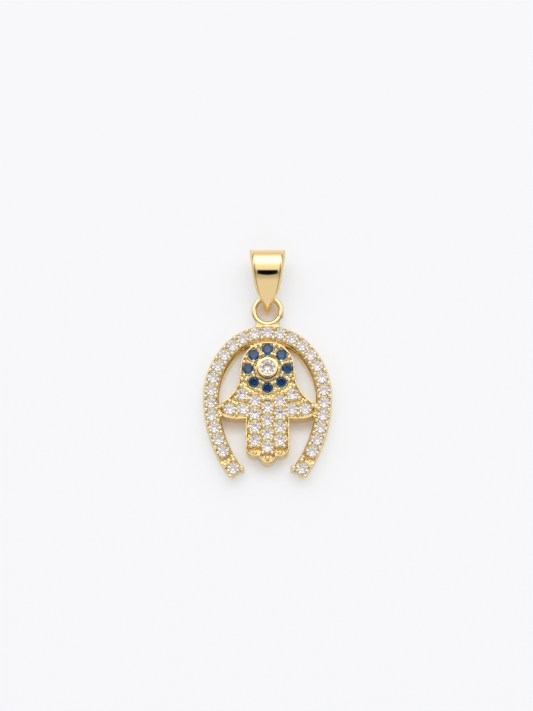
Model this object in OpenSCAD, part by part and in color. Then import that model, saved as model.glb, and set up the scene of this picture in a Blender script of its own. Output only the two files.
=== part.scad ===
// Hamsa pendant: a hand with an evil-eye flower inside a horseshoe, on a ring and a folded bail.
// It lies on its back: X to the right, Y up towards the bail, Z up from the surface.
// The origin is on the back, under the middle of the eye.

/* [Casting] */
// Thickness of the casting, from its back to the surface that the stones are set in
cast_t = 1.45; // [1.3:0.05:1.8]
// Height of the rim round the hand above that surface
rim_h = 0.15; // [0.08:0.01:0.25]
// Width of the rim round the hand
rim_w = 0.2; // [0.14:0.01:0.26]

/* [Stones] */
// Diameter of the small clear stones
stone_d = 1.27; // [1.1:0.01:1.28]
// Diameter of the blue stones
blue_d = 1.2; // [1.1:0.01:1.25]
// Diameter of the clear stone in the eye
centre_d = 1.85; // [1.7:0.05:1.95]
// Table of a stone, as a share of its diameter
table_share = 0.57; // [0.5:0.01:0.65]
// Crown height of a stone, as a share of its diameter
crown_share = 0.155; // [0.12:0.005:0.2]
// Pavilion depth of a stone, as a share of its diameter
pavilion_share = 0.43; // [0.38:0.01:0.45]
// Clearance between a stone and its seat
seat_clear = 0.02; // [0.015:0.005:0.03]
// Diameter of the hole that is open at the back under each stone
back_hole_d = 0.6; // [0.4:0.05:0.8]
// Diameter of the grains that hold the stones
grain_d = 0.4; // [0.3:0.02:0.44]

/* [Eye] */
// Wall of the bezel round the widest part of the centre stone
bezel_wall = 0.23; // [0.18:0.01:0.3]
// Height of the bezel above the surface of the hand
bezel_h = 0.7; // [0.5:0.05:0.9]
// Gap between the bezel and the blue stones
eye_gap = 0.335; // [0.3:0.005:0.45]
// Metal between the blue stones and the rim of the hand
dome_edge = 0.06; // [0.04:0.01:0.1]
// Thickness of the metal that closes the cup of the centre stone at the back
cup_floor = 0.5; // [0.3:0.05:0.7]

/* [Hand] */
// Gap between the stones of one finger
finger_gap = 0.195; // [0.15:0.005:0.3]
// Distance from the middle finger to each side finger
finger_x = 1.38; // [1.3:0.01:1.5]
// Distance from the lowest blue stone to the first stone of the middle finger
palm_drop = 2.18; // [2.0:0.02:2.4]
// Radius of the concave edge between the dome of the hand and a thumb
flare_r = 4; // [3.8:0.05:4.4]
// Radius of the convex lower edge of a thumb
thumb_r = 5; // [4.5:0.1:6]
// Radius of the rounded finger ends
finger_end_r = 1; // [0.95:0.01:1.1]

/* [Horseshoe] */
// Radius of the top arc, on the line of the stones
top_r = 5.55; // [5.3:0.05:5.8]
// Radius of the side arcs, on the line of the stones
side_r = 8; // [7.6:0.1:8.4]
// Radius of the arcs of the arms, on the line of the stones
arm_r = 14; // [13:0.5:16]
// Angle from the top at which the top arc ends
top_sweep = 48; // [46:0.5:50]
// Angle of each side arc
side_sweep = 42; // [40:0.5:44]
// Angle of each arm's arc
arm_sweep = 34.3; // [32:0.1:36]
// Width of the band outside the line of the stones
band_out = 0.84; // [0.8:0.01:0.9]
// Width of the band inside the line of the stones
band_in = 0.92; // [0.86:0.01:1]
// Smallest gap between the stones of the horseshoe
row_gap = 0.12; // [0.1:0.01:0.12]
// Distance from the last stone of the row to the stone in the square end
end_gap = 2.18; // [2.1:0.02:2.4]
// Width of the square end of an arm inside the line of the stones
end_in = 1.1; // [1.05:0.01:1.2]
// Length of the square end beyond its stone
end_l = 0.76; // [0.7:0.01:0.85]

/* [Ring] */
// Inner diameter of the ring
ring_bore = 2.34; // [2.2:0.02:2.5]
// Diameter of the ring's wire
wire_d = 0.62; // [0.56:0.02:0.7]
// Depth to which the ring is soldered into the top of the horseshoe
solder_sink = 0.17; // [0.12:0.01:0.25]

/* [Bail] */
// Length of the bail along its middle
bail_l = 6.74; // [6.4:0.02:7]
// Width of the bail at its top
bail_w = 3.84; // [3.4:0.02:4.2]
// Width of the bail where the wire of the ring passes through it
tail_w = 1.4; // [1.2:0.02:1.5]
// Largest depth of the bail, from front to back
bail_depth = 3.2; // [2.8:0.05:3.6]
// Thickness of the bail's metal
bail_wall = 0.3; // [0.26:0.01:0.34]
// Clearance between the wire of the ring and the bail
swing_clear = 0.22; // [0.2:0.01:0.26]
// Length of the tail that shows below the middle of the wire
tail_drop = 1.5; // [1.4:0.02:1.6]
// Length of the bail's oval crown, above its deepest place
crown_l = 2.5; // [2.3:0.05:2.8]
// Radius of the bail's bowed sides
side_bow = 3.4; // [3.2:0.1:3.8]

/* [Hidden] */

// Step of the arcs that are worked out as points
arc_step = 4;
curve_fn = 48;
grain_fn = 20;
over = 0.5;
tiny = 0.001;

gold = [0.93, 0.78, 0.45];
clear_stone = [0.88, 0.88, 0.93];
blue_stone = [0.07, 0.17, 0.42];

blue_r = blue_d / 2;
grain_r = grain_d / 2;
rim_top = cast_t + rim_h;

// Eye
bezel_r = centre_d / 2 + seat_clear + bezel_wall;
bezel_top = cast_t + bezel_h;
blue_count = 8;
blue_ring_r = bezel_r + eye_gap + blue_r;
dome_r = blue_ring_r + blue_r + dome_edge + rim_w;
// The centre stone's girdle lies this share of its crown below the top of the bezel
centre_sink = 0.5;
centre_z = bezel_top - centre_sink * crown_share * centre_d;

// Hand
finger_pitch = stone_d + finger_gap;
finger_rows = 4;
mid_y = -(blue_ring_r + palm_drop);
side_y = mid_y + finger_pitch / 2;
block_r = finger_x + finger_end_r;
// The ends of the fingers are round about a point this share of a stone past the last stone
finger_end = 0.61;
side_end_y = side_y - (finger_rows - 1) * finger_pitch - finger_end * stone_d;
mid_end_y = mid_y - (finger_rows - 1) * finger_pitch - finger_end * stone_d;
flare_drop = 0.3;
thumb_x = 3.2;
thumb_low = mid_y - 1.34;

// Horseshoe: each side is three tangent arcs, measured by the angle from the top
// Gap between the hand and the band at the top of the horseshoe
top_gap = 0.13;
top_y = dome_r + band_in + top_gap;
top_c = [0, top_y - top_r];
side_c = top_c + (top_r - side_r) * heading(top_sweep);
arm_c = side_c + (side_r - arm_r) * heading(top_sweep + side_sweep);
sweeps = [0, top_sweep, top_sweep + side_sweep, top_sweep + side_sweep + arm_sweep];
centres = [top_c, side_c, arm_c];
radii = [top_r, side_r, arm_r];
lengths = [for (i = [0:2]) radii[i] * (sweeps[i + 1] - sweeps[i]) * PI / 180];
hoop_length = lengths[0] + lengths[1] + lengths[2];
row_length = hoop_length - end_gap;
row_count = floor(row_length / (stone_d + row_gap));
row_pitch = row_length / row_count;

function heading(a) = [sin(a), cos(a)];

// Angle from the top after a length s along one side of the horseshoe
function hoop_angle(s) =
    s < lengths[0] ? s / lengths[0] * top_sweep :
    s < lengths[0] + lengths[1] ? sweeps[1] + (s - lengths[0]) / lengths[1] * side_sweep :
    sweeps[2] + (s - lengths[0] - lengths[1]) / lengths[2] * arm_sweep;

// Point at a length s along one side, and an offset outwards
function hoop_point(s, out = 0) =
    let (i = s < lengths[0] ? 0 : s < lengths[0] + lengths[1] ? 1 : 2)
    centres[i] + (radii[i] + out) * heading(hoop_angle(s));

// Points along an arc about c, with angles from the X axis. With first = 1 the first point is left out,
// where the line before it ends there
function arc(c, r, from, to, first = 0) =
    let (n = ceil(abs(to - from) / arc_step))
    [for (i = [first:n]) c + r * [cos(from + (to - from) * i / n), sin(from + (to - from) * i / n)]];

function flipped(points) = [for (i = [len(points) - 1:-1:0]) [-points[i][0], points[i][1]]];
function mirrored(points) = concat(points, flipped(points));
function turned(p, a) = [p[0] * cos(a) - p[1] * sin(a), p[0] * sin(a) + p[1] * cos(a)];

// Radius of a stone's table at its corners, and radius and height of the points of its star facets
function table_r(d) = table_share * d / 2 / cos(22.5);
function star_r(d) = (table_r(d) + d / 2) / 2;
function star_z(d) = crown_share * d * (d / 2 - star_r(d) * cos(22.5)) / (d / 2 - table_r(d));

// Brilliant cut: rings of points at the table, crown, girdle and pavilion, then the culet
function ring_points(n, r, z, turn) =
    [for (i = [0:n - 1]) [r * cos(turn + i * 360 / n), r * sin(turn + i * 360 / n), z]];

module brilliant(d) {
    r = d / 2;
    girdle_h = 0.03 * d;
    lower_r = 0.3 * r;
    culet_z = -pavilion_share * d;
    lower_z = -girdle_h + (culet_z + girdle_h) * (r - lower_r * cos(22.5)) / r;
    points = concat(
        ring_points(8, table_r(d), crown_share * d, 0),
        ring_points(8, star_r(d), star_z(d), 22.5),
        ring_points(16, r, 0, 0),
        ring_points(16, r, -girdle_h, 0),
        ring_points(8, lower_r, lower_z, 22.5),
        [[0, 0, culet_z]]
    );
    star = 8;
    girdle = 16;
    under = 32;
    lower = 48;
    culet = 56;
    faces = concat(
        [[for (i = [7:-1:0]) i]],
        [for (i = [0:7]) [i, (i + 1) % 8, star + i]],
        [for (i = [0:7]) [i, star + i, girdle + 2 * i, star + (i + 7) % 8]],
        [for (i = [0:7]) [star + i, girdle + 2 * i + 1, girdle + 2 * i]],
        [for (i = [0:7]) [star + i, girdle + (2 * i + 2) % 16, girdle + 2 * i + 1]],
        [for (i = [0:15]) [girdle + i, girdle + (i + 1) % 16, under + (i + 1) % 16, under + i]],
        [for (i = [0:7]) [under + 2 * i, under + 2 * i + 1, lower + i]],
        [for (i = [0:7]) [under + 2 * i + 1, under + (2 * i + 2) % 16, lower + i]],
        [for (i = [0:7]) [under + 2 * i, lower + i, culet, lower + (i + 7) % 8]]
    );
    polyhedron(points, faces, convexity = 2);
}

// Room for a stone: a cone over its crown, straight round the girdle, a cone under it, then the hole
// towards the back. Metal that stands above the girdle so leans over the stone and holds it.
// The hole ends at the height floor_z, or goes through where that lies below the back.
module seat(d, z, floor_z) {
    r = d / 2 + seat_clear;
    hole_r = back_hole_d / 2;
    girdle_h = 0.03 * d + seat_clear;
    slope = pavilion_share * d / (d / 2);
    translate([0, 0, z])
        rotate_extrude($fn = curve_fn)
            polygon([
                [0, d], [star_r(d) + seat_clear, d], [star_r(d) + seat_clear, star_z(d)],
                [r, 0], [r, -girdle_h], [hole_r, -girdle_h - (r - hole_r) * slope],
                [hole_r, floor_z - z], [0, floor_z - z]
            ]);
}

// Places
mid_places = [for (i = [0:finger_rows - 1]) [0, mid_y - i * finger_pitch]];
side_places = [for (i = [0:finger_rows - 1]) [finger_x, side_y - i * finger_pitch]];
finger_columns = [mid_places, side_places, [for (p = side_places) [-p[0], p[1]]]];
finger_places = [for (column = finger_columns) each column];

// Thumb stones and grains, in finger pitches across and up from the first stone of the side finger
THUMB_STONES = [[0.92, 0.46], [0.85, -0.64], [1.84, -0.64]];
THUMB_GRAINS = [
    [1, 1.08], [0.37, 0.63], [1.42, 0.2], [1.86, -0.02], [1.34, -0.27],
    [1.34, -1], [0.57, -1.15], [2.4, -0.4], [0.62, 0.09]
];
function thumb_place(p, side) = [side * (finger_x + p[0] * finger_pitch), side_y + p[1] * finger_pitch];
thumb_places = [for (side = [1, -1]) for (p = THUMB_STONES) thumb_place(p, side)];

blue_places = [for (i = [0:blue_count - 1]) blue_ring_r * heading(i * 360 / blue_count)];
row_places = concat(
    [hoop_point(0)],
    [for (side = [1, -1]) for (i = [1:row_count])
        [side * hoop_point(i * row_pitch)[0], hoop_point(i * row_pitch)[1]]],
    [for (side = [1, -1]) [side * hoop_point(hoop_length)[0], hoop_point(hoop_length)[1]]]
);

// Ring and what carries it
wire_r = wire_d / 2;
ring_r = ring_bore / 2 + wire_r;
ring_y = top_y + band_out + ring_r + wire_r - solder_sink;
web_w = 3.84;
web_drop = 0.2;
web_t = cast_t - web_drop;
foot_w = 2.6;
// The foot's top lies below the ring's middle by this share of its radius,
// and its hollow lies this far outside the bore
foot_drop = 0.67;
foot_set = 0.15;

// Bail in its own frame: u along it from the middle of the wire, v its depth.
// Both sides of the tail lie on one straight line with the bowed sides, and one of them lies on the surface.
tail_r = wire_r + swing_clear + bail_wall;
tail_u = tail_r - tail_drop;
crown_u = bail_l - tail_drop - crown_l;
rest_reach = [crown_u - tail_u, side_bow - bail_depth / 2];
rest_tilt = asin((side_bow - tail_r) / norm(rest_reach)) - atan2(rest_reach[1], rest_reach[0]);
pivot_y = ring_y + ring_r;
pivot_z = tail_r - tail_u * sin(rest_tilt);

// Widening of the bail from its width at the wire to its width at the top:
// height above the wire as a share of the length above it, and the share of the widening
BAIL_FLARE = [
    [0, 0], [0.04, 0.17], [0.08, 0.32], [0.16, 0.45], [0.235, 0.54],
    [0.41, 0.71], [0.58, 0.8], [0.9, 1], [1.02, 1]
];
// Narrowing of the tail below the wire: depth as a share of the drop, and the width that is left
BAIL_TAIL = [[1.05, 0.5], [0.8, 0.53], [0.4, 0.72]];
bail_edge = concat(
    [for (p = BAIL_TAIL) [tail_w / 2 * p[1], -tail_drop * p[0]]],
    [for (p = BAIL_FLARE)
        [tail_w / 2 + (bail_w - tail_w) / 2 * p[1], (bail_l - tail_drop) * p[0]]]
);

// Grains
grain_off = 0.57;
end_grain_r = 1.25 * grain_r;
// Grains of a square end, in stone diameters along the arm and outwards from its stone
END_GRAINS = [[0.34, -0.66], [-0.6, -0.45], [-0.63, 0.36], [0.42, 0.57]];
end_grains = [for (side = [1, -1]) for (g = END_GRAINS)
    let (p = hoop_point(hoop_length) + turned(stone_d * g, -sweeps[3])) [side * p[0], p[1]]];
row_grains = [for (side = [1, -1]) for (i = [0:row_count - 1]) for (out = [grain_off, -grain_off])
    let (p = hoop_point((i + 0.5) * row_pitch, out)) [side * p[0], p[1]]];
// Grains of the fingers sit below each stone, this far to each side, and further at the longest tip.
// The drop is a share of the distance to the next stone
finger_grain_x = 0.39;
last_grain_x = 0.52;
grain_drop = 0.43;
finger_grains = [for (column = finger_columns) for (p = column) for (x = [-1, 1])
    let (spread = p == mid_places[finger_rows - 1] ? last_grain_x : finger_grain_x)
    [p[0] + x * spread, p[1] - grain_drop * finger_pitch]];
// Grains at the tips, in stone diameters past the middle of each round finger end
side_tip = 0.44;
mid_tip = 0.33;
tip_grains = [for (x = [-1, 0, 1])
    [x * finger_x, x == 0 ? mid_end_y - mid_tip * stone_d : side_end_y - side_tip * stone_d]];
// Grains of the palm, from the first stone of the middle finger
PALM_GRAINS = [[-0.45, 0.86], [0, 0.98], [0.45, 0.86]];
palm_grains = [for (p = PALM_GRAINS) [p[0], mid_y + p[1]]];
thumb_grains = [for (side = [1, -1]) for (p = THUMB_GRAINS) thumb_place(p, side)];
// Grains that hold a stone of the eye: distance outwards from the line of the stones, angle from its stone
EYE_GRAINS = [[-0.43, 17], [-0.43, -17], [0.53, 16.5], [0.53, -16.5]];
eye_grains = [for (i = [0:blue_count - 1]) for (g = EYE_GRAINS)
    (blue_ring_r + g[0]) * heading(i * 360 / blue_count + g[1])];
hand_grains = concat(finger_grains, tip_grains, palm_grains, thumb_grains);
eye_grain_r = 0.85 * grain_r;

module grains(places, z, r) {
    for (p = places)
        translate([p[0], p[1], z]) sphere(r, $fn = grain_fn);
}

// Square end of an arm, along the arm and outwards from its stone
end_corner = 0.3;
END_OUTLINE = [
    [end_l - end_corner, band_out], [end_l, band_out - end_corner], [end_l, -end_in + end_corner / 3],
    [end_l - end_corner / 3, -end_in], [end_l / 2, -end_in]
];

// Band of the horseshoe: out along one side, round the square end of its arm and back inside
module band() {
    outside = [for (i = [0:2])
        each arc(centres[i], radii[i] + band_out, 90 - sweeps[i], 90 - sweeps[i + 1], 1)];
    end = [for (p = END_OUTLINE) hoop_point(hoop_length) + turned(p, -sweeps[3])];
    inside = [for (i = [2:-1:0])
        each arc(centres[i], radii[i] - band_in, 90 - sweeps[i + 1], 90 - sweeps[i], i < 2 ? 1 : 0)];
    half = [for (p = concat(outside, end, inside)) if (p[0] > tiny) p];
    linear_extrude(cast_t)
        polygon(concat([[0, top_y + band_out]], half, [[0, top_y - band_in]], flipped(half)));
}

// Outline of the hand, moved inwards by inset
module hand_outline(inset) {
    circle(dome_r - inset, $fn = 96);
    // The thumb's tip is sunk into the band, and its rim ends short of it
    tip_sink = 0.25;
    thumb_tip = side_c[0] + side_r - band_in + tip_sink - inset * 3;
    flare_c = [dome_r + flare_r, -flare_drop];
    flare_end = acos((flare_c[0] - thumb_tip) / (flare_r + inset));
    thumb_c = [thumb_x, thumb_low + thumb_r];
    thumb_a = acos((thumb_tip - thumb_x) / (thumb_r - inset));
    thumb_b = acos((block_r - inset - thumb_x) / (thumb_r - inset));
    polygon(mirrored(concat(
        [[0, 0], [dome_r - inset, 0]],
        arc(flare_c, flare_r + inset, 180, 180 + flare_end),
        arc(thumb_c, thumb_r - inset, -thumb_a, -thumb_b),
        [[block_r - inset, side_end_y], [0, side_end_y]]
    )));
    for (x = [-1, 1])
        translate([x * finger_x, side_end_y]) circle(finger_end_r - inset, $fn = curve_fn);
    translate([0, mid_end_y]) circle(finger_end_r - inset, $fn = curve_fn);
    translate([-finger_x, mid_end_y]) square([2 * finger_x, side_end_y - mid_end_y + over]);
}

module hand() {
    linear_extrude(cast_t) hand_outline(0);
    linear_extrude(rim_top)
        difference() {
            hand_outline(0);
            hand_outline(rim_w);
        }
}

// Room in the setting for every stone
module seats() {
    for (p = concat(finger_places, thumb_places, row_places))
        translate(p) seat(stone_d, cast_t, -over);
    for (p = blue_places)
        translate(p) seat(blue_d, cast_t, -over);
    seat(centre_d, centre_z, cup_floor);
}

module bezel() {
    step_h = 0.35 * bezel_h;
    step_w = 0.05;
    lip_w = 0.11;
    rotate_extrude($fn = 96)
        polygon([
            [0, cast_t - over], [bezel_r, cast_t - over], [bezel_r, cast_t + step_h],
            [bezel_r - step_w, cast_t + step_h], [bezel_r - lip_w, bezel_top], [0, bezel_top]
        ]);
}

// Metal between the dome of the hand and the horseshoe, and under the ring
module webs() {
    linear_extrude(web_t)
        translate([-web_w / 2, 0]) square([web_w, top_y - band_in / 2]);
    linear_extrude(web_t)
        difference() {
            translate([-foot_w / 2, top_y]) square([foot_w, ring_y - foot_drop * ring_r - top_y]);
            translate([0, ring_y]) circle(ring_bore / 2 + foot_set, $fn = curve_fn);
        }
}

module ring() {
    translate([0, ring_y, pivot_z])
        rotate_extrude($fn = 96)
            translate([ring_r, 0]) circle(wire_d / 2, $fn = curve_fn);
}

module setting() {
    color(gold)
        difference() {
            union() {
                band();
                hand();
                webs();
                bezel();
                ring();
                grains(row_grains, cast_t, grain_r);
                grains(hand_grains, cast_t, grain_r);
                grains(eye_grains, cast_t, eye_grain_r);
                grains(end_grains, cast_t, end_grain_r);
            }
            seats();
            for (side = [0, 1]) mirror([side, 0, 0]) groove();
        }
}

// Plain groove across an arm, between the row of stones and the square end
module groove() {
    groove_w = 0.45;
    groove_t = 0.3;
    from_end = 1.3;
    translate(hoop_point(hoop_length - from_end))
        rotate([0, 0, -sweeps[3]])
            translate([-groove_w / 2, -2 * band_in, cast_t - groove_t])
                cube([groove_w, 4 * band_in, 4 * groove_t]);
}

// Side outline of the bail, moved inwards by inset: a round tail, tangent sides and an oval crown
module bail_profile(inset) {
    polygon(concat(
        arc([tail_u, 0], tail_r - inset, 180, 90 + rest_tilt),
        arc([crown_u, bail_depth / 2 - side_bow], side_bow - inset, 90 + rest_tilt, 90),
        [for (a = [90 - arc_step:-arc_step:0])
            [crown_u + (crown_l - inset) * cos(a), (bail_depth / 2 - inset) * sin(a)]],
        [for (a = [-arc_step:-arc_step:arc_step - 90])
            [crown_u + (crown_l - inset) * cos(a), (bail_depth / 2 - inset) * sin(a)]],
        arc([crown_u, side_bow - bail_depth / 2], side_bow - inset, -90, -90 - rest_tilt),
        arc([tail_u, 0], tail_r - inset, -90 - rest_tilt, arc_step - 180)
    ));
}

module bail() {
    color(gold)
        translate([0, pivot_y, pivot_z])
            rotate([rest_tilt, 0, 0])
                intersection() {
                    rotate([90, 0, 90])
                        translate([0, 0, -bail_w])
                            linear_extrude(2 * bail_w)
                                difference() {
                                    bail_profile(0);
                                    bail_profile(bail_wall);
                                }
                    translate([0, 0, -bail_depth])
                        linear_extrude(2 * bail_depth)
                            polygon(mirrored(bail_edge));
                }
}

module placed_stone(p, z, d, tint) {
    color(tint)
        translate([p[0], p[1], z]) brilliant(d);
}

module centre_stone() {
    placed_stone([0, 0], centre_z, centre_d, clear_stone);
}

module blue_stone_(i) {
    placed_stone(blue_places[i - 1], cast_t, blue_d, blue_stone);
}

module finger_stone_(i) {
    placed_stone(finger_places[i - 1], cast_t, stone_d, clear_stone);
}

module thumb_stone_(i) {
    placed_stone(thumb_places[i - 1], cast_t, stone_d, clear_stone);
}

module horseshoe_stones() {
    for (p = row_places)
        placed_stone(p, cast_t, stone_d, clear_stone);
}

setting();
bail();
centre_stone();
horseshoe_stones();
for (i = [1:8])
    blue_stone_(i);
for (i = [1:12])
    finger_stone_(i);
for (i = [1:6])
    thumb_stone_(i);
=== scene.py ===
import math
import random

import bpy
import numpy as np
from mathutils import Matrix, Vector


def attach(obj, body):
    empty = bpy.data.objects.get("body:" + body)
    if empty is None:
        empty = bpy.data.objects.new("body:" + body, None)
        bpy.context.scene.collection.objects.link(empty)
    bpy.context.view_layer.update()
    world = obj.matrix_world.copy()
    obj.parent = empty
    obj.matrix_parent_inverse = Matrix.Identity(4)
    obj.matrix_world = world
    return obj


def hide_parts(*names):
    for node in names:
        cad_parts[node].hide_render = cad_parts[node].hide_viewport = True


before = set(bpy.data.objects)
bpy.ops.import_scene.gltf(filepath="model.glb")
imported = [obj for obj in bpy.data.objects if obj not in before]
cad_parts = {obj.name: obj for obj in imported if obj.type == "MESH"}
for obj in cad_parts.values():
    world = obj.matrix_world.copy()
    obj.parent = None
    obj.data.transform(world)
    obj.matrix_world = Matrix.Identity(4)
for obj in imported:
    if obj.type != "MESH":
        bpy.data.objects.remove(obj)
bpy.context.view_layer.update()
MM = 0.001
scene = bpy.context.scene

# Measures that part.scad names, in millimetres and degrees
CAST_T = 1.45
STONE_D, BLUE_D, CENTRE_D = 1.27, 1.2, 1.85
PIVOT_Y, PIVOT_Z = 7.96, 0.9918
RING_Y, RING_R, WIRE_R = 6.48, 1.48, 0.31
BAND_OUT, BAND_IN = 0.84, 0.92
PITCH = 1.465
BAIL_L, BAIL_W, TAIL_W, BAIL_DEPTH, BAIL_WALL = 6.74, 3.84, 1.4, 3.2, 0.3
TAIL_DROP, CROWN_L, SIDE_BOW, TAIL_R = 1.5, 2.5, 3.4, 0.83
TAIL_U, CROWN_U = TAIL_R - TAIL_DROP, BAIL_L - TAIL_DROP - CROWN_L
TILT = 13.9704

# The line of the horseshoe's stones, as part.scad sets it: arcs by centre, radius and the angles from the top
TOP_C, SIDE_C, ARM_C = (0.0, -1.53), (-1.8207, -3.1694), (-7.8207, -3.1694)
HOOP = [(TOP_C, 5.55, 0, 48), (SIDE_C, 8.0, 48, 90), (ARM_C, 14.0, 90, 124.3)]
HOOP_LENGTH = sum(r * math.radians(a1 - a0) for c, r, a0, a1 in HOOP)

# The camera: its angle above the horizon, its target in millimetres, its distance in metres, its sensor's width in
# millimetres, and the photograph's height at the target, 711 pixels with 9.2 of them a millimetre
CAMERA_ANGLE = math.radians(78)
CAMERA_TARGET = (-0.109, 1.445, 1.45)
CAMERA_DISTANCE = 0.42
SENSOR = 36
VIEW_HEIGHT = 711 / 9.2 * MM

# Brightness of the tent by the angle from the +Y horizon over the top to the -Y horizon, in degrees
TENT = [(0, 0.85), (10, 0.8), (20, 0.9), (28, 1.1), (36, 1.45), (42, 2.2), (48, 2.8), (60, 2.8), (67, 2.15),
        (73, 1.5), (79, 1.15), (92, 1.0), (106, 0.5), (112, 0.56), (136, 0.9), (160, 0.82), (180, 0.8)]
TENT_TINT = (0.99, 0.99, 1.0)
TENT_STRENGTH = 0.96
# How far to the left and right it darkens, as the X of a direction, and its share of the light there
SIDE_SPAN, SIDE_LEVEL = (0.35, 0.7), 0.5

# The floor's own glow stands for the light that the tent's white cloth and the gold throw into its shadows. Its spots
# are a centre and radii in millimetres, and the shares of the radii between which they fade
FLOOR_HALF = 1.5
INSIDE = [((0, -4), (6.1, 8), 0.9, 1.1), ((0, 6.7), (1.3, 1.3), 0.85, 1.15)]
WARM = [((0, 6.7), (1.3, 1.3), 0.85, 1.15), ((-3.7, -5.9), (2, 1.2), 0.3, 1.2), ((3.7, -5.9), (2, 1.2), 0.3, 1.2)]
OPEN_BASE, OPEN_GLOW = (0.525, 0.48, 0.508), (0.422, 0.466, 0.457)
INNER_BASE, INNER_GLOW, WARM_GLOW = (0.75, 0.775, 0.82), (0.2, 0.176, 0.146), (0.155, 0.08, 0.02)

# The dark opening round the camera, in metres: half its mesh, how far behind the camera it stands, half its width and
# height, half the width of its soft edge, and how fast it narrows downwards
CARD_HALF, CARD_BEHIND = 0.1, 0.004
OPENING_X, OPENING_Y, OPENING_FADE, OPENING_BEND = 0.067, 0.066, 0.015, 13

# Colour of the casting by height, as shares of a height in millimetres: plain, the painted shade of its hollows,
# plain and the rim
RAMP_HEIGHT = 2
RAMP_PLACES = (0, 0.45, 0.53, 0.66, 0.735, 0.765)
RIM = (0.8, 0.62, 0.34)

# Brilliants: the table's width and the heights of crown, girdle and pavilion as shares of the diameter, and the inner
# end of the lower girdle facets as a share of the radius
TABLE, CROWN, GIRDLE, PAVILION, LOWER = 0.57, 0.155, 0.03, 0.43, 0.3
# The first vertex of each ring of vertices below the table's, of the culet, and their number in a stone
STAR_V, GIRDLE_V, UNDER_V, LOWER_V, CULET_V, STONE_V = 8, 16, 32, 48, 56, 57
# A stone's lean as it was set, in radians, and the eye's dome: its stones' lean about X by their Y
LEAN, LEAN_MOST = 0.03, 0.045
EYE_Y, EYE_LEAN = [-2.11, -1.49, 0, 1.49, 2.11], [0.2, 0.18, 0.13, 0.01, -0.03]

# The bail's half width by U, along its length, and the half widths that its front and back layers have at their tips
EDGE = [(-a * TAIL_DROP, b * TAIL_W / 2) for a, b in ((1.05, 0.5), (0.8, 0.53), (0.4, 0.72))]
EDGE += [((BAIL_L - TAIL_DROP) * a, TAIL_W / 2 + (BAIL_W - TAIL_W) / 2 * b) for a, b in
         ((0, 0), (0.04, 0.17), (0.08, 0.32), (0.16, 0.45), (0.235, 0.54), (0.41, 0.71), (0.58, 0.8), (0.9, 1),
          (1.02, 1))]
FRONT_TIP = [-1.3, -0.82, -0.74, -0.65, -0.34, -0.09, 0.1, 0.3], [0.15, 0.17, 0.24, 0.34, 0.57, 0.71, 0.76, 2]
BACK_TIP = [-1.6, -1.2, -0.6, -0.1, 0.2], [0.3, 0.36, 0.56, 0.68, 2]
# Its face: the radius of the dome across it, and the width and depth of its soft edges
DOME_R, EDGE_W, EDGE_DEPTH = 17.0, 0.12, 0.16

# The casting's mesh, in millimetres: the remesh's grid and the number of triangles that are kept
VOXEL, TRIANGLES = 0.055, 190000
# The depth of the hollows between the beads and their unevenness, and how much deeper they are on the fingertips and
# before the horseshoe's end stones
DIP, ROUGH, TIP_DIP, END_DIP = 0.2, 0.026, 0.12, 0.16
# The width of the edge that the hollows leave on the band
BAND_EDGE = 0.14
# The band's walls: the height in which they slope near the top, how far they do, outside and inside, and the flare of
# the inner wall's foot
SLOPE_H, SLOPE_OUT, SLOPE_IN = 0.45, 0.18, 0.16
FLARE = 0.3
# The draft of the hand's lower walls and that of the middle fingertip, the Y between which the one runs into the
# other, and how often the walls' share in it is smoothed
DRAFT, TIP_DRAFT, TIP_DRAFT_Y, DRAFT_PASSES = 0.12, 0.17, [-10.4, -9.7], 10
# Where the ring's solder foot begins, and the radius within which the solid's bezel stands
RING_FROM_Y, BEZEL_R = 5.3, 1.27

# Grains: their rise above the casting, the spread of their places, the angle of a ball's outline that they show,
# their radius, and how much larger than in part.scad they are made
GRAIN_RISE, GRAIN_SPREAD, GRAIN_ARC = 0.08, 0.012, math.pi * 0.72
GRAIN_R, GRAIN_SWELL = 0.2, (1.12, 1.32)
# How far they stand from the line of the horseshoe's stones
GRAIN_OFF = 0.57
# The middle and side fingers' upper stones
MID_Y, FINGER_X = -4.29, 1.38
SIDE_Y = MID_Y + PITCH / 2
# Beside the horseshoe's end stones, and on the thumbs, as shares of the stone's size and of the pitch
END_GRAINS = ((0.34, -0.66), (-0.6, -0.45), (-0.63, 0.36), (0.42, 0.57))
THUMB_GRAINS = ((0.37, 0.63), (1.42, 0.2), (1.86, -0.02), (1.34, -0.27), (1.34, -1), (0.57, -1.15), (2.4, -0.4),
                (0.62, 0.09))
# Round the eye, as distances from the blue stones' circle and angles from a stone
EYE_R = 2.11
EYE_GRAINS = ((-0.43, 17), (-0.43, -17), (0.53, 16.5), (0.53, -16.5))

# The ring's seam: its first angle from the top and its length in degrees, and its swelling beyond the wire
SEAM_FROM, SEAM_ARC, SEAM_SWELL = 108, 10, 0.035
# The ring's wire is thicker than the solid's by this, and the solder's radii and centre in the bail's own frame
WIRE_MORE = 0.012
SOLDER_R, SOLDER_C = (0.33, 0.42, 0.46), (0, -1.08, 0.36)

# The bezel's lip: its first radius and width, the number of its points, and its steepness in degrees by radius
LIP_R, LIP_W, LIP_POINTS = 0.815, 0.295, 24
LIP_AT, LIP_SLOPE = [0.815, 0.84, 0.88, 0.93, 0.95, 1.085, 1.11], [-60, -15, 0, 2, 6, 18, 60]


def mm(*v):
    return Vector(v) * MM


def feed(tree, socket, value):
    """Links an output to a socket, or sets the socket's value. A tuple is a colour without its alpha."""
    if isinstance(value, bpy.types.NodeSocket):
        tree.links.new(value, socket)
    else:
        socket.default_value = (*value, 1) if isinstance(value, tuple) else value


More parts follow.
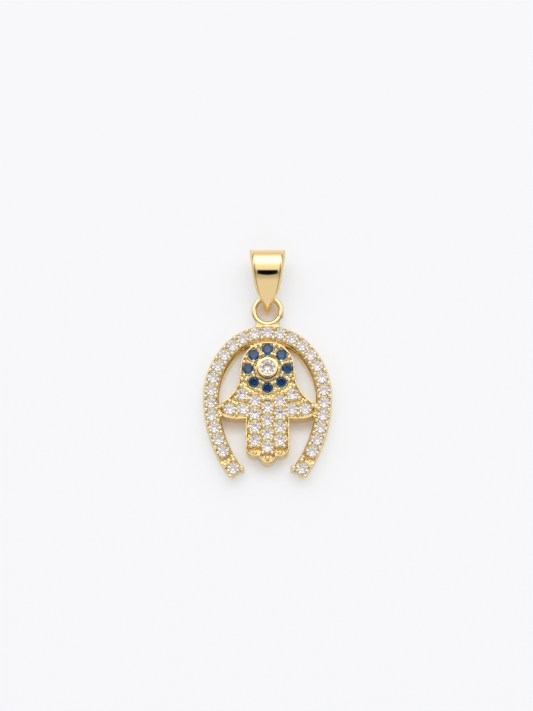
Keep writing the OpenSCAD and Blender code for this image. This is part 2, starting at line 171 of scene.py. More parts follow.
def calc(tree, operation, *values, kind="Math", output=0):
    """An output of a math node that is fed with outputs or numbers."""
    node = tree.nodes.new("ShaderNode" + kind)
    node.operation = operation
    for socket, value in zip(node.inputs, values):
        feed(tree, socket, value)
    return node.outputs[output]


def mapped(tree, value, span=(0, 1), to=(0, 1), smooth=False):
    """A value mapped from one span to another and held at its ends."""
    node = tree.nodes.new("ShaderNodeMapRange")
    if smooth:
        node.interpolation_type = "SMOOTHSTEP"
    for name, end in zip(("From Min", "From Max", "To Min", "To Max"), (*span, *to)):
        node.inputs[name].default_value = end
    tree.links.new(value, node.inputs["Value"])
    return node.outputs["Result"]


def mixed(tree, share, a, b, mode="MIX"):
    """A share of colour b over colour a."""
    node = tree.nodes.new("ShaderNodeMix")
    node.data_type = "RGBA"
    node.blend_type = mode
    for name, value in (("Factor", share), ("A", a), ("B", b)):
        feed(tree, node.inputs[name], value)
    return node.outputs["Result"]


def colour_ramp(tree, value, stops, smooth=False):
    """A ramp's colour at a value, from stops of a place and a colour."""
    node = tree.nodes.new("ShaderNodeValToRGB")
    if smooth:
        node.color_ramp.interpolation = "EASE"
    points = node.color_ramp.elements
    while len(points) < len(stops):
        points.new(0.5)
    for point, (place, colour) in zip(points, stops):
        point.position = place
        point.color = (*colour, 1)
    tree.links.new(value, node.inputs["Fac"])
    return node.outputs["Color"]


def axes(tree, source):
    """X, Y and Z of a texture coordinate."""
    coord = tree.nodes.new("ShaderNodeTexCoord")
    split = tree.nodes.new("ShaderNodeSeparateXYZ")
    tree.links.new(coord.outputs[source], split.inputs[0])
    return split.outputs


def noise(tree, scale, detail=2):
    """Noise over an object's own coordinates, which are in metres."""
    coord = tree.nodes.new("ShaderNodeTexCoord")
    node = tree.nodes.new("ShaderNodeTexNoise")
    node.inputs["Scale"].default_value = scale
    node.inputs["Detail"].default_value = detail
    tree.links.new(coord.outputs["Object"], node.inputs["Vector"])
    return node.outputs["Fac"]


def principled(name, settings):
    """A new material, its node tree and its shader, with values for the shader's sockets."""
    mat = bpy.data.materials.new(name)
    mat.use_nodes = True
    tree = mat.node_tree
    bsdf = tree.nodes["Principled BSDF"]
    for socket, value in settings.items():
        feed(tree, bsdf.inputs[socket], value)
    return mat, tree, bsdf


def camera():
    """A long lens at the photograph's angle."""
    data = bpy.data.cameras.new("camera")
    cam = bpy.data.objects.new("camera", data)
    scene.collection.objects.link(cam)
    back = Vector((0, -math.cos(CAMERA_ANGLE), math.sin(CAMERA_ANGLE)))
    cam.location = mm(*CAMERA_TARGET) + back * CAMERA_DISTANCE
    cam.rotation_mode = "QUATERNION"
    cam.rotation_quaternion = (-back).to_track_quat("-Z", "Y")
    data.sensor_width = SENSOR
    data.lens = SENSOR * CAMERA_DISTANCE / VIEW_HEIGHT
    data.clip_start = 0.01
    data.clip_end = 20
    scene.camera = cam


def light():
    """A light tent, with bands that run along X and with darker sides."""
    world = bpy.data.worlds.new("tent")
    scene.world = world
    world.use_nodes = True
    tree = world.node_tree
    tree.nodes.clear()
    at = axes(tree, "Generated")
    share = mapped(tree, calc(tree, "ARCTAN2", at["Z"], at["Y"]), (0, math.pi))
    top = max(level for degrees, level in TENT)
    stops = [(degrees / 180, [level / top * t for t in TENT_TINT]) for degrees, level in TENT]
    bands = colour_ramp(tree, share, stops, smooth=True)
    sides = mapped(tree, calc(tree, "ABSOLUTE", at["X"]), SIDE_SPAN, (1.0, SIDE_LEVEL), smooth=True)
    back = tree.nodes.new("ShaderNodeBackground")
    feed(tree, back.inputs["Color"], mixed(tree, 1, bands, sides, "MULTIPLY"))
    feed(tree, back.inputs["Strength"], top * TENT_STRENGTH)
    out = tree.nodes.new("ShaderNodeOutputWorld")
    tree.links.new(back.outputs[0], out.inputs[0])


def stage_square(name, half, material):
    """A square piece of the stage, in metres."""
    mesh = bpy.data.meshes.new(name)
    mesh.from_pydata([(-half, -half, 0), (half, -half, 0), (half, half, 0), (-half, half, 0)], [], [(0, 1, 2, 3)])
    obj = bpy.data.objects.new(name, mesh)
    scene.collection.objects.link(obj)
    obj.data.materials.append(material)
    return obj


def floor_material():
    board = {"Roughness": 0.75, "Specular IOR Level": 0.2, "Emission Strength": 1}
    mat, tree, bsdf = principled("white_board", board)
    coord = tree.nodes.new("ShaderNodeTexCoord")

    def spots(places):
        """Share of a point in the nearest of some soft ellipses."""
        shares = []
        for (x, y), (rx, ry), inner, outer in places:
            move = calc(tree, "SUBTRACT", coord.outputs["Object"], mm(x, y, 0), kind="VectorMath")
            size = calc(tree, "DIVIDE", move, mm(rx, ry, 1), kind="VectorMath")
            reach = calc(tree, "LENGTH", size, kind="VectorMath", output="Value")
            shares.append(mapped(tree, reach, (inner, outer), (1, 0), smooth=True))
        most = shares[0]
        for share in shares[1:]:
            most = calc(tree, "MAXIMUM", most, share)
        return most

    inside = spots(INSIDE)
    glow = mixed(tree, inside, OPEN_GLOW, INNER_GLOW)
    feed(tree, bsdf.inputs["Base Color"], mixed(tree, inside, OPEN_BASE, INNER_BASE))
    feed(tree, bsdf.inputs["Emission Color"], mixed(tree, spots(WARM), glow, WARM_GLOW))
    return mat


def opening_material():
    """The dark opening that the camera looks through, which polished metal mirrors."""
    dark = {"Base Color": (0.002, 0.002, 0.002), "Roughness": 0.8, "Specular IOR Level": 0}
    mat, tree, bsdf = principled("camera_front", dark)
    at = axes(tree, "Object")
    low = calc(tree, "MINIMUM", at["Y"], 0)
    bend = calc(tree, "MULTIPLY", calc(tree, "MULTIPLY", low, low), OPENING_BEND)
    across = calc(tree, "ADD", calc(tree, "ABSOLUTE", at["X"]), bend)
    along = calc(tree, "ABSOLUTE", at["Y"])
    shares = [mapped(tree, size, (half - OPENING_FADE, half + OPENING_FADE), (1, 0), smooth=True)
              for size, half in ((across, OPENING_X), (along, OPENING_Y))]
    feed(tree, bsdf.inputs["Alpha"], calc(tree, "MULTIPLY", *shares))
    return mat


def stage_set():
    stage_square("floor", FLOOR_HALF, floor_material())
    card = stage_square("camera_front", CARD_HALF, opening_material())
    cam = scene.camera
    card.location = cam.location - (cam.rotation_quaternion @ Vector((0, 0, -1))) * CARD_BEHIND
    card.rotation_mode = "QUATERNION"
    card.rotation_quaternion = cam.rotation_quaternion


def gold(name, rough, bump, scale, colour, deep=None, soft=0.05):
    """Gold plate, with the slight unevenness of a casting or the gloss of a polished sheet. The bump's height and the
    soft edges' radius are in millimetres, and deep is the colour of the painted shade in the casting's hollows."""
    mat, tree, bsdf = principled(name, {"Metallic": 1.0, "Base Color": colour})
    uneven = noise(tree, scale, 3)
    # Painted shade: the casting darkens into the deep colour at the height of its hollows
    if deep:
        height = mapped(tree, axes(tree, "Object")["Z"], (0, RAMP_HEIGHT * MM))
        stops = list(zip(RAMP_PLACES, (colour, colour, deep, deep, colour, RIM)))
        feed(tree, bsdf.inputs["Base Color"], colour_ramp(tree, height, stops))
    feed(tree, bsdf.inputs["Roughness"], mapped(tree, uneven, to=(rough * 0.6, rough * 1.5)))
    hit = tree.nodes.new("ShaderNodeBump")
    feed(tree, hit.inputs["Strength"], 1)
    feed(tree, hit.inputs["Distance"], bump * MM)
    feed(tree, hit.inputs["Height"], uneven)
    if soft:
        bevel = tree.nodes.new("ShaderNodeBevel")
        bevel.samples = 6
        bevel.inputs["Radius"].default_value = soft * MM
        feed(tree, hit.inputs["Normal"], bevel.outputs["Normal"])
    feed(tree, bsdf.inputs["Normal"], hit.outputs["Normal"])
    return mat


def shade_material():
    """Painted shade: the black foot of the bezel's neck, for the dark arc under the lip's front."""
    painted_black = {"Base Color": (0.03, 0.022, 0.012), "Roughness": 0.9, "Specular IOR Level": 0}
    return principled("gold_shade", painted_black)[0]


def gem(name, colour, ior, milk, milk_colour, glow=0.0):
    """A cut stone. Milk is the share of light that many small facets scatter, more in some stones than in others."""
    clear = {"Base Color": colour, "Transmission Weight": 1.0, "Roughness": 0.02, "IOR": ior}
    # Glow is painted light: a faint emission that stands for the stone's sparkle
    mat, tree, bsdf = principled(name, {**clear, "Emission Color": (1, 0.93, 0.9), "Emission Strength": glow})
    scatter = tree.nodes.new("ShaderNodeBsdfDiffuse")
    faint = tuple(0.8 * c for c in milk_colour)
    feed(tree, scatter.inputs["Color"], mixed(tree, noise(tree, 2600, 1), faint, milk_colour))
    mix = tree.nodes.new("ShaderNodeMixShader")
    for socket, value in zip(mix.inputs, (milk, bsdf.outputs[0], scatter.outputs[0])):
        feed(tree, socket, value)
    tree.links.new(mix.outputs[0], tree.nodes["Material Output"].inputs["Surface"])
    return mat


def foil(name, colour):
    """The pavilion's facets, which throw the light back as total reflection does."""
    mat, tree, bsdf = principled(name, {"Base Color": colour, "Metallic": 1, "Roughness": 0.02})
    feed(tree, bsdf.inputs["Roughness"], mapped(tree, noise(tree, 900), to=(0.01, 0.06)))
    return mat


def piece(name, mesh, material, slot, *nodes):
    """A new piece that rides on the root and stands for CAD nodes. Its mesh is in metres."""
    obj = bpy.data.objects.new(name, mesh)
    scene.collection.objects.link(obj)
    mesh.materials.clear()
    mesh.materials.append(material)
    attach(obj, "root")
    if nodes:
        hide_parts(*nodes)
    return obj


def mesh_mm(name, verts, faces, smooth=True):
    """A mesh from points in millimetres."""
    mesh = bpy.data.meshes.new(name)
    mesh.from_pydata([(x * MM, y * MM, z * MM) for x, y, z in verts], [], faces)
    mesh.update()
    if smooth:
        mesh.shade_smooth()
    return mesh


def loft(name, rings, closed=True):
    """A tube of rings, each a closed line of points in millimetres, that closes on itself or has a face at each
    end."""
    n, m = len(rings), len(rings[0])
    verts = [p for ring in rings for p in ring]
    faces = [(i * m + j, i * m + (j + 1) % m, (i + 1) % n * m + (j + 1) % m, (i + 1) % n * m + j)
             for i in range(n if closed else n - 1) for j in range(m)]
    if not closed:
        faces += [tuple(m - 1 - j for j in range(m)), tuple((n - 1) * m + j for j in range(m))]
    return mesh_mm(name, verts, faces)


def lathe(name, outline, centre_y=0.0, n=128):
    """A closed ring turned round an upright axis, its outline a closed loop of radius and height in millimetres."""
    turns = [2 * math.pi * i / n for i in range(n)]
    return loft(name, [[(r * math.sin(a), centre_y + r * math.cos(a), z) for r, z in outline] for a in turns])


def brilliant(d, place, turn, lean, verts, faces):
    """Adds a stone of diameter d to lists of points and faces, its girdle's upper edge at the place's height."""
    r, c = d / 2, math.cos(math.radians(22.5))
    table_r = TABLE * r / c
    star_r = (table_r + r) / 2
    star_z = CROWN * d * (r - star_r * c) / (r - table_r)
    girdle = GIRDLE * d
    lower_r = LOWER * r
    lower_z = -girdle + (girdle - PAVILION * d) * (r - lower_r * c) / r

    def ring(n, rad, z, off):
        angles = [math.radians(off + 360 * i / n) for i in range(n)]
        return [(rad * math.cos(a), rad * math.sin(a), z) for a in angles]

    points = ring(8, table_r, CROWN * d, 0) + ring(8, star_r, star_z, 22.5) + ring(16, r, 0, 0)
    points += ring(16, r, -girdle, 0) + ring(8, lower_r, lower_z, 22.5) + [(0, 0, -PAVILION * d)]
    spin = Matrix.Rotation(lean[0], 3, "X") @ Matrix.Rotation(lean[1], 3, "Y") @ Matrix.Rotation(turn, 3, "Z")
    base = len(verts)
    verts += [tuple(Vector(place) + spin @ Vector(p)) for p in points]
    made = [tuple(range(8))]
    for i in range(8):
        last = (i + 7) % 8
        corners = (2 * i, 2 * i + 1, (2 * i + 2) % 16)
        star, upper = STAR_V + i, [GIRDLE_V + k for k in corners]
        made += [(i, star, (i + 1) % 8), (i, STAR_V + last, upper[0], star)]
        made += [(star, upper[0], upper[1]), (star, upper[1], upper[2])]
        low, under = LOWER_V + i, [UNDER_V + k for k in corners]
        made += [(under[0], low, under[1]), (under[1], low, under[2]), (under[0], LOWER_V + last, CULET_V, low)]
    for i in range(16):
        j = (i + 1) % 16
        made += [(GIRDLE_V + i, UNDER_V + i, UNDER_V + j, GIRDLE_V + j)]
    faces += [tuple(base + k for k in f) for f in made]


def stone_places(node):
    """Where the culets of a CAD node's stones are, and the height of their tables."""
    co = np.array([v.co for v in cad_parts[node].data.vertices]) / MM
    low = co[:, 2] < co[:, 2].min() + 0.01
    return sorted({(round(float(x), 2), round(float(y), 2)) for x, y in co[low][:, :2]}), co[:, 2].max()


def stone_size(node):
    return BLUE_D if node.startswith("blue") else CENTRE_D if node == "centre_stone" else STONE_D


def stones(node, material, others, slot, rng):
    """Stones of a node, each turned and leaning a little as it was set, where the CAD node has them."""
    places, high = stone_places(node)
    d = stone_size(node)
    verts, faces = [], []
    for x, y in places:
        lean = [max(-LEAN_MOST, min(LEAN_MOST, rng.gauss(0, LEAN))) for _ in range(2)]
        if node.startswith("blue"):
            # The eye's stones lean with its slight dome, the lower ones most
            tip = float(np.interp(y, EYE_Y, EYE_LEAN))
            lean = [0.3 * lean[0] + tip, 0.3 * lean[1] + (0.02 if x > 0 else 0.04) * x]
        brilliant(d, (x, y, high - CROWN * d), rng.uniform(0, math.pi / 4), lean, verts, faces)
    obj = piece(node + "_cut", mesh_mm(node + "_cut", verts, faces, smooth=False), material, slot, node)
    for extra in others:
        obj.data.materials.append(extra)
    for face in obj.data.polygons:
        kinds = [v % STONE_V for v in face.vertices]
        # In a blue stone the table takes a darker blue than the crown, painted shade for its dark centre
        face.material_index = 1 if max(kinds) >= LOWER_V else 0 if max(kinds) < STAR_V else 2
        if GIRDLE_V <= max(kinds) < LOWER_V and len(others) > 2:
            # Painted glint: the lower side of a blue stone's crown, where light leaves it, takes a lighter blue
            x, y = places[face.vertices[0] // STONE_V]
            off = face.center / MM - Vector((x, y, 0))
            if off.y < -0.3 * d and abs(off.x) < 0.2 * d and min(kinds) < GIRDLE_V:
                face.material_index = 3


def bail_point(x, u, v):
    """A point of the bail's own frame, in the pendant's."""
    p = Matrix.Rotation(math.radians(TILT), 3, "X") @ Vector((x, u, v))
    return p.x, p.y + PIVOT_Y, p.z + PIVOT_Z


def bail_stations():
    """Points of the bail's outer outline and their normals, once round, in its own frame."""
    out = []

    def arc(cu, cv, ru, rv, a0, a1, n):
        for i in range(n):
            a = math.radians(a0 + (a1 - a0) * i / n)
            nu, nv = math.cos(a) / ru, math.sin(a) / rv
            size = math.hypot(nu, nv)
            out.append((cu + ru * math.cos(a), cv + rv * math.sin(a), nu / size, nv / size))

    def straight(bow_c, degrees, upwards, n=16):
        """From the side's bow to the tail's round end or back, where both face the same way."""
        nu, nv = math.cos(math.radians(degrees)), math.sin(math.radians(degrees))
        a = CROWN_U + SIDE_BOW * nu, bow_c + SIDE_BOW * nv
        b = TAIL_U + TAIL_R * nu, TAIL_R * nv
        if upwards:
            a, b = b, a
        for i in range(n):
            out.append((a[0] + (b[0] - a[0]) * i / n, a[1] + (b[1] - a[1]) * i / n, nu, nv))

    bow_v = BAIL_DEPTH / 2 - SIDE_BOW
    front, back = 90 + TILT, 270 - TILT
    arc(CROWN_U, 0, CROWN_L, BAIL_DEPTH / 2, -90, 90, 90)
    arc(CROWN_U, bow_v, SIDE_BOW, SIDE_BOW, 90, front, 14)
    straight(bow_v, front, False)
    arc(TAIL_U, 0, TAIL_R, TAIL_R, front, back, 30)
    straight(-bow_v, back, True)
    arc(CROWN_U, -bow_v, SIDE_BOW, SIDE_BOW, back, 270, 14)
    return out


def bail_mesh():
    """A folded sheet with a crowned face and soft edges."""
    rings = []
    us, widths = zip(*EDGE)
    for u, v, nu, nv in bail_stations():
        front, back = float(np.interp(u, *FRONT_TIP)), float(np.interp(u, *BACK_TIP))
        share = min(1, max(0, (v - 0.15) / 0.3))
        half = min(float(np.interp(u, us, widths)), back + (front - back) * share)
        edge = min(EDGE_W, half * 0.35)
        dome = (1 - nu * nu) / (2 * DOME_R)
        # Outer face from left to right, domed, with soft edges, then the inner face back
        left = [(-half, -0.2)]
        for k in range(9):
            a = math.pi * k / 16
            left.append((-half + edge * (1 - math.sin(a)), -EDGE_DEPTH + EDGE_DEPTH * math.cos(math.pi / 2 - a)))
        across = [((half - edge) * (2 * k / 8 - 1), 0.0) for k in range(1, 8)]
        outer = left + across + [(-x, h) for x, h in reversed(left)]
        inner = [(x, -BAIL_WALL) for x in (half - 0.05, half * 0.5, -half * 0.5, -half + 0.05)]
        section = [(x, h - x * x * dome) for x, h in outer] + inner
        rings.append([bail_point(x, u + nu * h, v + nv * h) for x, h in section])
    return loft("bail_sheet", rings)


def solder_blob(rng):
    """The lump of solder that closes the bail below its front face."""
    rings = []
    n, m = 20, 24
    bumps = [(rng.uniform(3, 9), rng.uniform(3, 9), rng.uniform(0, 6)) for _ in range(5)]
    for i in range(n + 1):
        a = math.pi * min(max(i, 0.15), n - 0.15) / n
        ring = []
        for j in range(m):
            b = 2 * math.pi * j / m
            p = Vector((math.sin(a) * math.cos(b), math.cos(a), math.sin(a) * math.sin(b)))
            k = 1 + 0.06 * sum(math.sin(fx * p.x + fy * p.y + ph + 4 * p.z) for fx, fy, ph in bumps)
            ring.append(bail_point(*(c + r * k * v for c, r, v in zip(SOLDER_C, SOLDER_R, p))))
        rings.append(ring)
    verts = [p for ring in rings for p in ring]
    faces = [(i * m + j, (i + 1) * m + j, (i + 1) * m + (j + 1) % m, i * m + (j + 1) % m)
             for i in range(n) for j in range(m)]
    faces += [tuple(range(m)), tuple(n * m + m - 1 - j for j in range(m))]
    return mesh_mm("bail_solder", verts, faces)


def ring_mesh():
    """The closed ring, a round wire."""
    wire = WIRE_R + WIRE_MORE
    turns = [2 * math.pi * j / 32 for j in range(32)]
    return lathe("ring_wire", [(RING_R + wire * math.cos(b), PIVOT_Z + wire * math.sin(b)) for b in turns], RING_Y)


def seam_mesh(rng):
    """The rough closed seam on the ring's right side."""
    rings = []
    n, m = 8, 24
    for i in range(n + 1):
        a = math.radians(SEAM_FROM + SEAM_ARC * i / n)
        swell = SEAM_SWELL * math.sin(math.pi * i / n) + 0.016
        ring = []
        for j in range(m):
            b = 2 * math.pi * j / m
            r = WIRE_R + swell * (1 + 0.35 * math.sin(3 * b + 1.3 * i) + rng.uniform(-0.15, 0.15))
            reach = RING_R + r * math.cos(b)
            ring.append((reach * math.sin(a), RING_Y + reach * math.cos(a), PIVOT_Z + r * math.sin(b)))
        rings.append(ring)
    return loft("ring_seam", rings, closed=False)


def heading(a):
    return Vector((math.sin(math.radians(a)), math.cos(math.radians(a))))


def hoop_point(s, out=0.0):
    """Point at a length along one side of the horseshoe, and the angle there."""
    for c, r, a0, a1 in HOOP:
        length = r * math.radians(a1 - a0)
        if s <= length + 1e-6 or c == ARM_C:
            a = a0 + math.degrees(s / r)
            return Vector(c) + (r + out) * heading(a), a
        s -= length


def hoop_offset(x, y):
    """How far points lie outside the line of the horseshoe's stones, and the outward direction there, for x of either
    sign."""
    side = np.where(x < 0, -1.0, 1.0)
    ax = np.abs(x)
    best = np.full(x.shape, 9.0)
    nx, ny = np.zeros(x.shape), np.zeros(x.shape)
    for c, r, a0, a1 in HOOP:
        dx, dy = ax - c[0], y - c[1]
        angle = np.degrees(np.arctan2(dx, dy))
        inside = (angle >= a0 - 0.5) & (angle <= a1 + (6 if c == ARM_C else 0.5))
        size = np.hypot(dx, dy)
        off = size - r
        closer = inside & (np.abs(off) < np.abs(best))
        best = np.where(closer, off, best)
        nx, ny = np.where(closer, dx / size * side, nx), np.where(closer, dy / size, ny)
    return best, nx, ny


def stone_gap(x, y):
    """Distance of points from the edge of the nearest stone."""
    near = np.full(len(x), 9.0)
    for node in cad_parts:
        if "stone" in node:
            for px, py in stone_places(node)[0]:
                near = np.minimum(near, np.hypot(x - px, y - py) - stone_size(node) / 2)
    return near


def applied(mesh, build):
    """The mesh after the modifiers that build adds to an object of it, which is removed again."""
    obj = bpy.data.objects.new("setting_work", mesh)
    scene.collection.objects.link(obj)
    build(obj.modifiers)
    dg = bpy.context.evaluated_depsgraph_get()
    done = bpy.data.meshes.new_from_object(obj.evaluated_get(dg))
    bpy.data.objects.remove(obj)
    return done


def vertex_values(mesh, name):
    values = np.empty(len(mesh.vertices) * 3)
    mesh.vertices.foreach_get(name, values)
    return values.reshape(-1, 3)


def step(lo, hi, v):
    t = np.clip((v - lo) / (hi - lo), 0, 1)
    return t * t * (3 - 2 * t)


def hand_draft(mesh, x, y, z, off, near):
    """How far the hand's lower walls slope out to their foot."""
    n = len(mesh.vertices)
    facing = vertex_values(mesh, "normal")
    down = np.clip(-1.4 * facing[:, 1] / np.maximum(0.3, np.hypot(facing[:, 0], facing[:, 1])), 0, 1)
    down *= ((off < -BAND_IN + 0.05) | (np.abs(x) < 2.5)) & (y < -4.4) & (near > 0.08)
    edges = np.empty(len(mesh.edges) * 2, dtype=np.int32)
    mesh.edges.foreach_get("vertices", edges)
    one, other = np.concatenate([edges[0::2], edges[1::2]]), np.concatenate([edges[1::2], edges[0::2]])
    count = np.bincount(one, minlength=n)
    for _ in range(DRAFT_PASSES):
        down = (down + np.bincount(one, down[other], n) / count) / 2
    draft = np.interp(y, TIP_DRAFT_Y, [TIP_DRAFT, DRAFT])
    return draft * np.clip(1.5 * down, 0, 1) * np.clip(1 - z / CAST_T, 0, 1)


def band_shift(y, z, off):
    """How far the band's walls move outwards: their sloping tops, and the flare of the inner wall's foot."""
    band = y <= RING_FROM_Y
    high = np.clip((z - (CAST_T - SLOPE_H)) / SLOPE_H, 0, 1) * band
    out = np.clip((off - 0.5) / (BAND_OUT - 0.5), 0, 1.1) * (off < BAND_OUT + 0.1)
    inner = np.clip((-off - 0.6) / (BAND_IN - 0.6), 0, 1.1) * (off > -BAND_IN - 0.04)
    wall = step(-BAND_IN + 0.14, -BAND_IN + 0.02, off) * (off > -BAND_IN - 0.06) * band
    flare = FLARE * wall * np.clip(1 - z / CAST_T, 0, 1) * step(-3.2, 0.5, y)
    return (-SLOPE_OUT * out + SLOPE_IN * inner) * high - flare


def hollows(x, y, z, off, near):
    """How deep the metal between the beads is cut, with the unevenness of the wax."""
    dip = step(CAST_T - 0.5, CAST_T - 0.03, z) * (1 - step(CAST_T + 0.03, CAST_T + 0.16, z))
    # The band keeps its edges but where the thumbs meet it
    on_band = np.abs(off) < 1.2
    edge = np.where(on_band, step(0.0, BAND_EDGE, BAND_OUT - off) * step(0.0, BAND_EDGE, BAND_IN + off), 1.0)
    edge = np.where(on_band & (off < -BAND_IN), 1.0, edge)
    edge = np.where((np.abs(y + 4.2) < 0.7) & (off < -0.4) & (off > -BAND_IN - 0.3), 1.0, edge)
    # The bezel's seat and the ring's foot stay whole
    keep = step(1.25, 1.35, np.hypot(x, y)) * (1 - step(4.9, 5.1, y))
    uneven = np.sin(15 * x + 4 * y + 1) * np.sin(5 * x - 16 * y)
    uneven += 0.6 * np.sin(23 * x - 9 * y) * np.sin(8 * x + 21 * y + 2)
    # Deeper before the end stones and on the fingertips
    low = TIP_DIP * step(-8.6, -9.0, y) * (np.abs(x) < 2.6)
    gap = hoop_point(HOOP_LENGTH - 1.1)[0]
    low += END_DIP * (1 - step(0.35, 0.6, np.hypot(np.abs(x) - gap.x, y - gap.y)))
    return (DIP + low + ROUGH * uneven) * dip * keep * edge * step(0.05, 0.17, near)


def setting_mesh():
    """The casting with the softness of a real one: edges and beads run into each other, and the metal between the
    beads is cut a little below the stones' girdles."""

    def remesh(modifiers):
        modifiers.new("weld", "WELD").merge_threshold = 1e-4
        m = modifiers.new("remesh", "REMESH")
        m.mode = "VOXEL"
        m.voxel_size = VOXEL

    def soften(modifiers):
        m = modifiers.new("soften", "SMOOTH")
        m.factor, m.iterations = 0.5, 3
        modifiers.new("thin", "DECIMATE").ratio = min(1.0, TRIANGLES / (2.0 * len(mesh.vertices)))

    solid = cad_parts["setting"].data.copy()
    solid.transform(Matrix.Scale(1 / MM, 4))
    mesh = applied(solid, remesh)
    co = vertex_values(mesh, "co")
    x, y, z = co[:, 0].copy(), co[:, 1].copy(), co[:, 2].copy()
    off, nx, ny = hoop_offset(x, y)
    near = stone_gap(x, y)
    co[:, 1] -= hand_draft(mesh, x, y, z, off, near)
    shift = band_shift(y, z, off)
    co[:, 0] += shift * nx
    co[:, 1] += shift * ny
    # The hand's rim runs out where the thumbs meet the band
    thumbs = step(-BAND_IN - 0.32, -BAND_IN - 0.12, off) * (y < -3) * (y > -7)
    z = np.where(z > CAST_T, CAST_T + (z - CAST_T) * (1 - thumbs), z)
    # The bezel above the casting is a piece of its own
    z = np.where((np.hypot(x, y) < BEZEL_R) & (z > CAST_T - 0.15), CAST_T - 0.15, z)
    co[:, 2] = z - hollows(x, y, z, off, near)
    mesh.vertices.foreach_set("co", co.reshape(-1))
    mesh.update()
    mesh = applied(mesh, soften)
    mesh.transform(Matrix.Scale(MM, 4))
    mesh.shade_smooth()
    mesh.name = "setting_cast"
    return mesh


def grain_places():
    """The beads that hold the stones, where part.scad sets them and a few more, as x, y and radius."""
    out = []
    apart = (HOOP_LENGTH - 2.18) / 12
    for i in range(12):
        for off in (GRAIN_OFF, -GRAIN_OFF):
            p, a = hoop_point((i + 0.5) * apart, off)
            out += [(p.x, p.y, GRAIN_R), (-p.x, p.y, GRAIN_R)]
    end, a = hoop_point(HOOP_LENGTH)
    for u, v in END_GRAINS:
        p = end + STONE_D * (u * heading(a + 90) + v * heading(a))
        out += [(p.x, p.y, 0.24), (-p.x, p.y, 0.24)]
    for x, y in [(0, MID_Y), (FINGER_X, SIDE_Y), (-FINGER_X, SIDE_Y)]:
        for i in range(4):
            spread = 0.52 if x == 0 and i == 3 else 0.39
            out += [(x + k * spread, y - (i + 0.43) * PITCH, GRAIN_R) for k in (-1, 1)]
    # On the fingertips
    mid_end = MID_Y - 3 * PITCH - 0.61 * STONE_D
    side_end = SIDE_Y - 3 * PITCH - 0.61 * STONE_D
    out += [(x, side_end - 0.44 * STONE_D, GRAIN_R) for x in (-FINGER_X, FINGER_X)]
    out.append((0, mid_end - 0.33 * STONE_D, GRAIN_R))
    # Between the middle finger and the eye
    out += [(x, MID_Y + y, GRAIN_R) for x, y in ((-0.45, 0.86), (0, 0.98), (0.45, 0.86))]
    for u, v in THUMB_GRAINS:
        out += [(k * (FINGER_X + u * PITCH), SIDE_Y + v * PITCH, GRAIN_R) for k in (-1, 1)]
    # Beside the eye, and where the thumbs meet the band
    for x, y, r in ((2.86, -1.95, 0.25), (2.8, -1.17, GRAIN_R), (5.2, -4.25, 0.17)):
        out += [(k * x, y, r) for k in (-1, 1)]
    for i in range(8):
        for off, a in EYE_GRAINS:
            p = (EYE_R + off) * heading(i * 45 + a)
            out.append((p.x, p.y, 0.19))
    return out


def grain_mesh(rng):
    verts, faces = [], []
    n, m = 18, 8
    turns = [2 * math.pi * i / n for i in range(n)]
    for x, y, r in grain_places():
        r *= rng.uniform(*GRAIN_SWELL)
        x, y = x + rng.gauss(0, GRAIN_SPREAD), y + rng.gauss(0, GRAIN_SPREAD)
        z = CAST_T + GRAIN_RISE + rng.gauss(0, GRAIN_SPREAD)
        base = len(verts)
        verts.append((x, y, z + r))
        for j in range(1, m + 1):
            b = GRAIN_ARC * j / m
            wide, high = r * math.sin(b), r * math.cos(b)
            verts += [(x + wide * math.cos(t), y + wide * math.sin(t), z + high) for t in turns]
        faces += [(base, base + 1 + i, base + 1 + (i + 1) % n) for i in range(n)]
        for j in range(m - 1):
            a = base + 1 + j * n
            faces += [(a + i, a + n + i, a + n + (i + 1) % n, a + (i + 1) % n) for i in range(n)]
        faces.append(tuple(base + 1 + (m - 1) * n + (n - 1 - i) for i in range(n)))
    return mesh_mm("grains", verts, faces)


def bezel_outline():
    """The collar of the centre stone, a little proud of the casting: a rounded lip, a neck, a step and a foot."""
    top, base, step_z = CAST_T + 0.7, CAST_T - 0.3, CAST_T - 0.03
    lip, z = [(0.805, top - 0.16), (0.81, top - 0.05)], top
    for i in range(LIP_POINTS):
        r = LIP_R + LIP_W * i / (LIP_POINTS - 1)
        lip.append((r, z))
        z -= LIP_W / (LIP_POINTS - 1) * math.tan(math.radians(float(np.interp(r, LIP_AT, LIP_SLOPE))))
    neck = [(1.113, z - 0.02), (1.09, z - 0.04), (1.11, step_z + 0.06)]
    ledge = [(1.16, step_z), (1.21, step_z + 0.005), (1.25, step_z), (1.275, step_z - 0.03), (1.285, step_z - 0.08)]
    return lip + neck + ledge + [(1.285, base), (0.98, base), (0.98, top - 0.3)], len(lip)


def bezel_collar(gold_collar):
    outline, neck = bezel_outline()
    collar = piece("bezel_collar", lathe("bezel_collar", outline), gold_collar, "gold_casting")
    # The neck's darker gold is painted shade under the lip
    collar.data.materials.append(gold("gold_neck_shade", 0.3, 0.01, 3000, (0.3, 0.22, 0.1), soft=0))
    collar.data.materials.append(shade_material())
    for face in collar.data.polygons:
        # Painted shade: the neck is darker than the lip, and its foot black but for the part behind the stone
        band = face.index % len(outline) - neck
        if band in (0, 1, 2):
            face.material_index = 2 if band == 2 and face.center.y < 0.2 * MM else 1


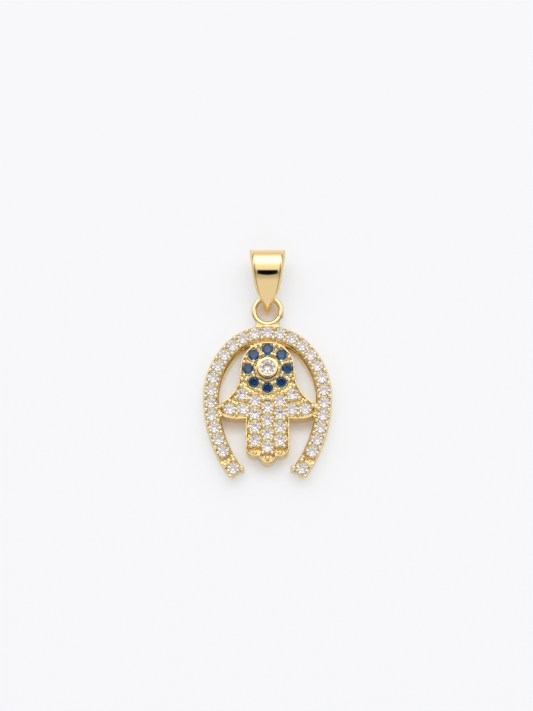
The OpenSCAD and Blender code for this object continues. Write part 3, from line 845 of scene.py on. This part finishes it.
camera()
light()
stage_set()
# The casting's second colour is painted shade for its hollows
gold_cast = gold("gold_casting", 0.11, 0.06, 2400, (0.85, 0.69, 0.41), (0.76, 0.57, 0.27))
# The beads take a lighter gold than the casting, painted light that sets them off from its shaded hollows
gold_bead = gold("gold_bead", 0.12, 0.004, 3000, (0.95, 0.82, 0.5))
gold_sheet = gold("gold_polished", 0.07, 0.002, 500, (0.96, 0.72, 0.365))
gold_collar = gold("gold_collar", 0.1, 0.002, 900, (0.85, 0.71, 0.41), soft=0)
gold_wire = gold("gold_wire", 0.13, 0.014, 1100, (0.91, 0.73, 0.42))
gold_seam = gold("gold_seam", 0.3, 0.05, 5000, (0.62, 0.55, 0.34))
# The solder lump is real, but its deep orange is painted shade and reflected gold under the bail's front face
gold_solder = gold("gold_solder", 0.2, 0.03, 4000, (0.93, 0.56, 0.13))
clear = gem("clear_stone", (1, 1, 1), 2.1, 0.11, (1.0, 0.92, 0.9), 0.025)
clear_under = foil("clear_pavilion", (1.0, 0.95, 0.91))
# The blue is split into a dark copy for the tables and a lighter one for the crowns: painted shade and light
blue = gem("blue_stone", (0.01, 0.08, 0.2), 1.95, 0.03, (0.02, 0.06, 0.12), 0.012)
blue_under = foil("blue_pavilion", (0.1, 0.48, 0.66))
blue_crown = gem("blue_crown", (0.07, 0.42, 0.7), 1.55, 0.03, (0.01, 0.06, 0.15), 0.014)
blue_glint = gem("blue_glint", (0.1, 0.5, 0.85), 1.55, 0.5, (0.06, 0.42, 0.8))
piece("setting_cast", setting_mesh(), gold_cast, "gold_casting", "setting")
piece("grains", grain_mesh(random.Random(5)), gold_bead, "gold_casting")
piece("ring_wire", ring_mesh(), gold_wire, "gold_casting")
piece("ring_seam", seam_mesh(random.Random(8)), gold_seam, "gold_casting")
bezel_collar(gold_collar)
piece("bail_sheet", bail_mesh(), gold_sheet, "gold_polished", "bail")
piece("bail_solder", solder_blob(random.Random(3)), gold_solder, "gold_polished")
rng = random.Random(11)
for node in sorted(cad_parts):
    if node.startswith("blue_stone"):
        stones(node, blue, (blue_under, blue_crown, blue_glint), "blue_stone", rng)
    elif "stone" in node:
        stones(node, clear, (clear_under, clear), "clear_stone", rng)

scene.view_settings.view_transform = "Standard"
scene.view_settings.look = "None"
